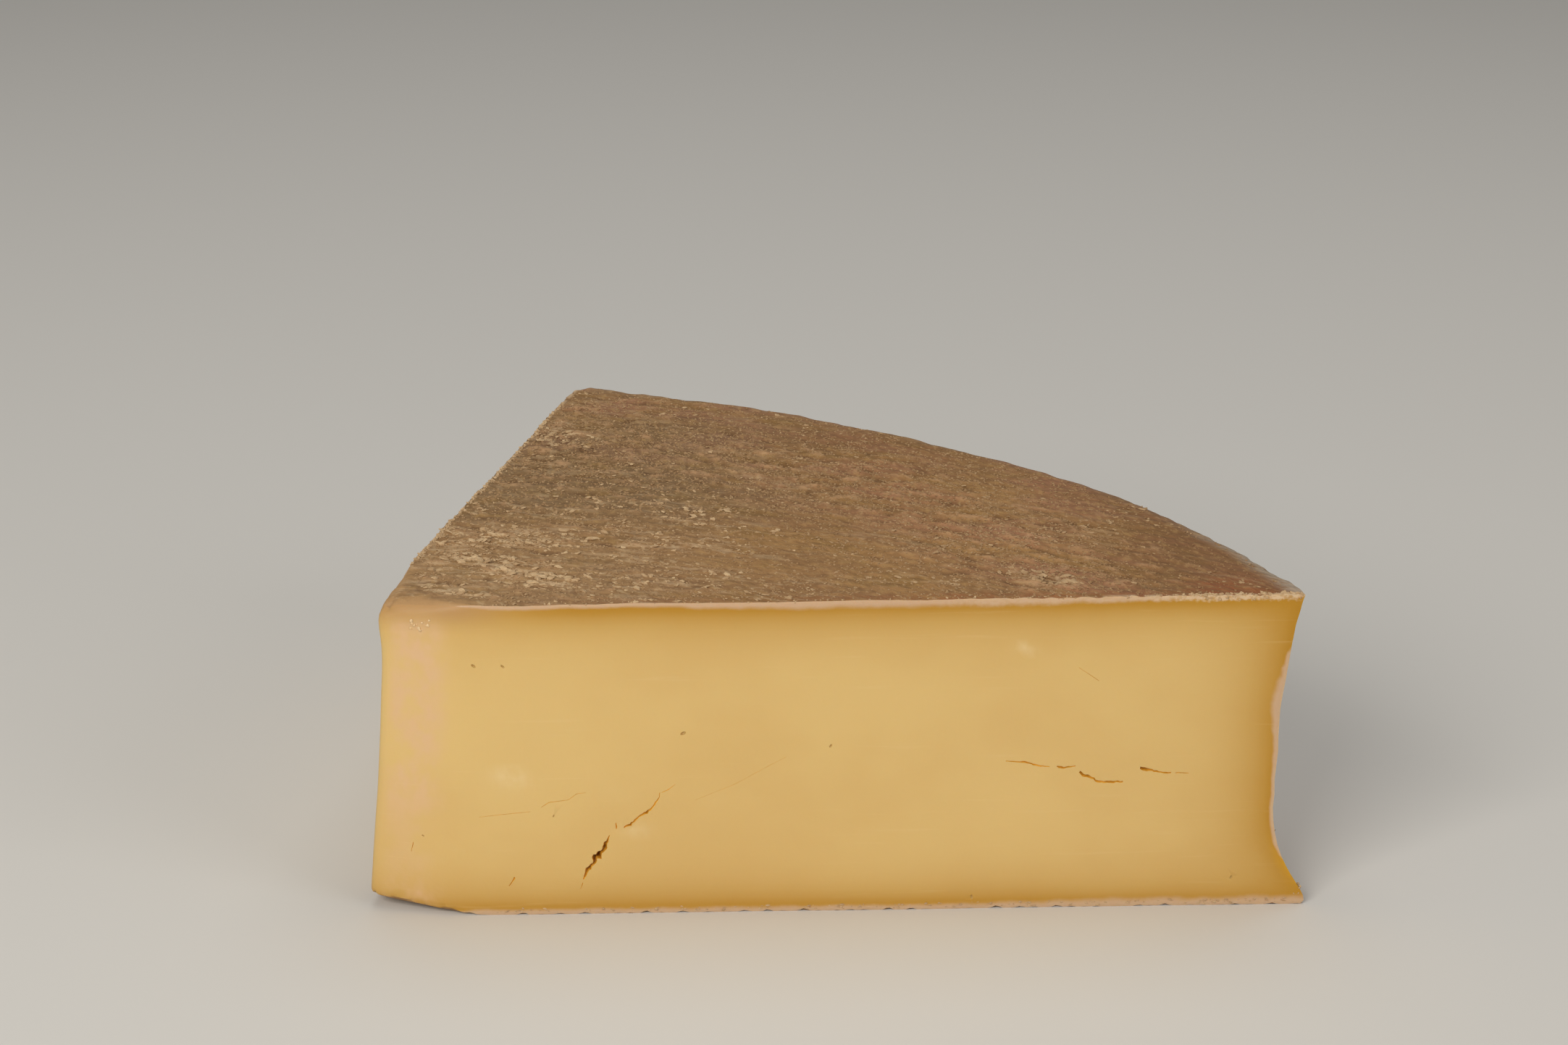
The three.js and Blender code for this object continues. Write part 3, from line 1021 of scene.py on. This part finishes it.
def rind_flakes(material):
    """Torn cream flakes that stand up from the rind, in loose clusters where it is crumbly."""
    draw = random.Random(SEED + 1)
    grains = []
    while len(grains) < FLAKE_COUNT:
        x, y = random_top_place(draw)
        if draw.random() > flakiness(x, y) ** 2 + 0.012:
            continue
        size = 0.25 + (0.1 + 0.75 * flakiness(x, y)) * draw.random() ** 2
        for _ in range(draw.choice((1, 1, 1, 2, 2, 3))):
            sizes = half_sizes(draw, size, (0.9, 2.4), (0.7, 1.3), (0.4, 0.8))
            place = (x, y, top_height(x, y) + 0.15 * size)
            lie = along_grain(x) @ facing(draw, turn=0.5)
            pale = draw.uniform(0.5, 1.0) * (1 - 0.3 * fade(x, 80, 125))
            grains.append((place, sizes, lie, pale))
            x += draw.gauss(0, 1.1)
            y += draw.gauss(0, 0.7)
            size *= draw.uniform(0.6, 0.9)
    return scatter("rind_flakes", material, grains, 8, 4)


def rind_grit(material):
    """Fine brown grit over the upper rind, with a few pale specks."""
    draw = random.Random(SEED + 2)
    grains = []
    while len(grains) < GRIT_COUNT:
        x, y = random_top_place(draw)
        if draw.random() > (0.2 + 0.5 * lumpiness(x, y)) * (1 - 0.6 * fade(x, 150, 178)):
            continue
        size = draw.uniform(0.18, 0.42)
        sizes = half_sizes(draw, size, (0.9, 1.7), (0.8, 1.3), (0.5, 0.9))
        lie = along_grain(x) @ facing(draw, turn=0.7)
        pale = draw.uniform(0.5, 0.75) if draw.random() < 0.02 else draw.uniform(0.05, 0.4)
        pale *= 1 - 0.8 * fade(x, 140, 175)
        grains.append(((x, y, top_height(x, y)), sizes, lie, pale))
    return scatter("rind_grit", material, grains, 4, 2)


def heel_grit(material):
    """The same grit on the heel, as far as the rounding of its rear corner."""
    draw = random.Random(SEED + 3)
    first = math.asin(CENTRE_AHEAD / WHEEL_RADIUS)
    rear_heel = rear_heel_point(tip_point(0.5), WHEEL_RADIUS) - wheel_centre
    last = math.atan2(rear_heel.y, rear_heel.x) - (HEEL_CORNER_ROUND + 1) / WHEEL_RADIUS
    grains = []
    for _ in range(HEEL_GRIT_COUNT):
        angle = draw.uniform(first + 0.01, last)
        height = draw.uniform(0.06, 0.97)
        plan = point_on_wheel(WHEEL_RADIUS + heel_profile(height), angle)
        outwards = Vector((math.cos(angle), math.sin(angle), 0))
        place = Vector((plan.x, plan.y, height * BLOCK_HEIGHT))
        place += outwards * heel_relief(plan.x, plan.y, height)
        place += unevenness(place)
        size = draw.uniform(0.18, 0.5)
        sizes = half_sizes(draw, size, (1.0, 2.2), (0.8, 1.4), (0.4, 0.7))
        grains.append((place, sizes, facing(draw, outwards), 0.7 * draw.random() ** 2))
    return scatter("heel_grit", material, grains, 4, 2)


def edge_crumbs(material):
    """Crumbs on the edges of the two cuts: a torn cream fringe along the top, which thickens towards
    the heel, scraps along the foot, and a few crumbs on the heel's lower lip."""
    draw = random.Random(SEED + 4)
    rear_length = (rear_heel_point(tip_point(1.0), WHEEL_RADIUS) - tip_point(1.0)).length
    grains = []
    for cut, length, short_of_heel, common, largest in (
        ("front", FRONT_LENGTH, 0.6, 0.10, 0.3),
        ("rear", rear_length, HEEL_CORNER_ROUND + 6, 0.5, 0.5),
    ):
        for _ in range(EDGE_CRUMB_TRIES):
            across = draw.uniform(EDGE_CRUMB_START, length - short_of_heel)
            torn = fade(across, 156, 178)
            if draw.random() > common + 0.08 * fade(across, 110, 130) + 0.6 * torn:
                continue
            inwards = draw.uniform(0.05, 0.9)
            place = cut_point(cut, across, BLOCK_HEIGHT, inwards)
            place.z = top_height(place.x, place.y)
            if inwards < 0.3:
                place.z -= draw.uniform(0, 0.2 + 0.9 * torn)
            size = draw.uniform(0.16, largest + 0.25 * torn)
            sizes = half_sizes(draw, size, (1.0, 2.0), (0.7, 1.1), (0.5, 1.0))
            grains.append((place, sizes, facing(draw, tilt=0.8), draw.uniform(0.55, 1.0)))
        for _ in range(FOOT_SCRAP_COUNT):
            across = draw.uniform(EDGE_CRUMB_START, length + 2)
            up = draw.uniform(0.45, 1.4)
            place = cut_point(cut, across, up, draw.uniform(0, 0.25))
            size = draw.uniform(0.14, 0.4)
            sizes = half_sizes(draw, size, (1.0, 2.2), (0.6, 1.0), (0.5, 0.9))
            grains.append((place, sizes, facing(draw, turn=0.6), draw.uniform(0.5, 0.95)))
        for _ in range(LIP_CRUMB_COUNT):
            across = length + draw.uniform(0.8, 2.6)
            up = draw.uniform(1.2, 4.5)
            place = cut_point(cut, across, up, draw.uniform(0, 1.5))
            size = draw.uniform(0.25, 0.5)
            sizes = (size, size, size * 0.8)
            grains.append((place, sizes, facing(draw, tilt=1.2), draw.uniform(0.7, 1.0)))
    return scatter("edge_crumbs", material, grains, 6, 4)


def fat_beads(material):
    """A few shiny beads near the top of the tip."""
    draw = random.Random(SEED + 5)
    grains = []
    for _ in range(BEAD_COUNT):
        across = draw.gauss(*BEAD_ACROSS)
        place = cut_point("front", across, draw.gauss(*BEAD_UP))
        size = draw.uniform(0.2, 0.5)
        towards = Vector((-facet_inward.x, -facet_inward.y, 0))
        grains.append((place, (size, size, size * 0.45), facing(draw, towards, tilt=0.1), 1.0))
    return scatter("fat_beads", material, grains, 8, 5, smooth=True)


# Stage, light and camera

CAMERA_PLACE = (37.2, -733.8, 312.8)
CAMERA_PITCH = math.radians(17.05)
CAMERA_YAW = math.radians(3.70)
CAMERA_ROLL = math.radians(0.6)
CAMERA_LENS = 85
CAMERA_SENSOR = 36
FLOOR_SIZE = 8


def photo_camera():
    """The camera at the photograph's place, a little above the block and to its left."""
    forward = Vector((
        math.sin(CAMERA_YAW) * math.cos(CAMERA_PITCH),
        math.cos(CAMERA_YAW) * math.cos(CAMERA_PITCH),
        -math.sin(CAMERA_PITCH),
    ))
    right = Vector((math.cos(CAMERA_YAW), -math.sin(CAMERA_YAW), 0))
    right = Matrix.Rotation(-CAMERA_ROLL, 3, forward) @ right
    up = right.cross(forward)
    camera = bpy.data.objects.new("camera", bpy.data.cameras.new("camera"))
    camera.data.lens = CAMERA_LENS
    camera.data.sensor_width = CAMERA_SENSOR
    camera.data.clip_start = 0.01
    basis = Matrix((right, up, -forward)).transposed().to_4x4()
    camera.matrix_world = Matrix.Translation(to_frame(CAMERA_PLACE)) @ basis
    bpy.context.scene.collection.objects.link(camera)
    bpy.context.scene.camera = camera


def soft_light(name, place, size, power, colour):
    """An area light aimed at the middle of the block."""
    lamp = bpy.data.lights.new(name, "AREA")
    lamp.shape = "RECTANGLE"
    lamp.size, lamp.size_y = size
    lamp.energy = power
    lamp.color = colour
    light = bpy.data.objects.new(name, lamp)
    light.location = place
    aim = Vector((0, 0, BLOCK_HEIGHT / 2 * MM)) - Vector(place)
    light.rotation_euler = aim.to_track_quat("-Z", "Y").to_euler()
    bpy.context.scene.collection.objects.link(light)


def studio():
    """A plain pale floor under soft light."""
    shape = bmesh.new()
    bmesh.ops.create_grid(shape, x_segments=1, y_segments=1, size=FLOOR_SIZE / 2)
    material, _, shader = new_material("matt_pale_floor")
    shader.inputs["Base Color"].default_value = linear("#DEDBD5")
    shader.inputs["Roughness"].default_value = 0.9
    add_object("floor", to_mesh("floor", shape), [material])
    soft_light("key", (-0.75, -1.25, 0.85), (0.9, 0.7), 16.5, (1.0, 0.97, 0.92))
    soft_light("fill", (1.1, -1.0, 0.7), (0.9, 0.9), 4.5, (1.0, 0.98, 0.96))
    soft_light("overhead", (0.1, 0.4, 1.5), (1.2, 1.2), 6, (1.0, 0.99, 0.97))
    world = bpy.data.worlds.new("studio")
    world.use_nodes = True
    background = world.node_tree.nodes["Background"]
    background.inputs["Color"].default_value = (1.0, 0.99, 0.97, 1.0)
    background.inputs["Strength"].default_value = 0.19
    bpy.context.scene.world = world
    bpy.context.scene.view_settings.view_transform = "Standard"


photo_camera()
studio()
body = cheese_body(cheese_paste(), natural_rind(), torn_paste())
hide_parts("cheese_block")
crumb_finish = dry_crumbs()
loose = [make(crumb_finish) for make in (rind_flakes, rind_grit, heel_grit, edge_crumbs)]
for piece in (body, *loose, fat_beads(butterfat())):
    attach(piece, "root")
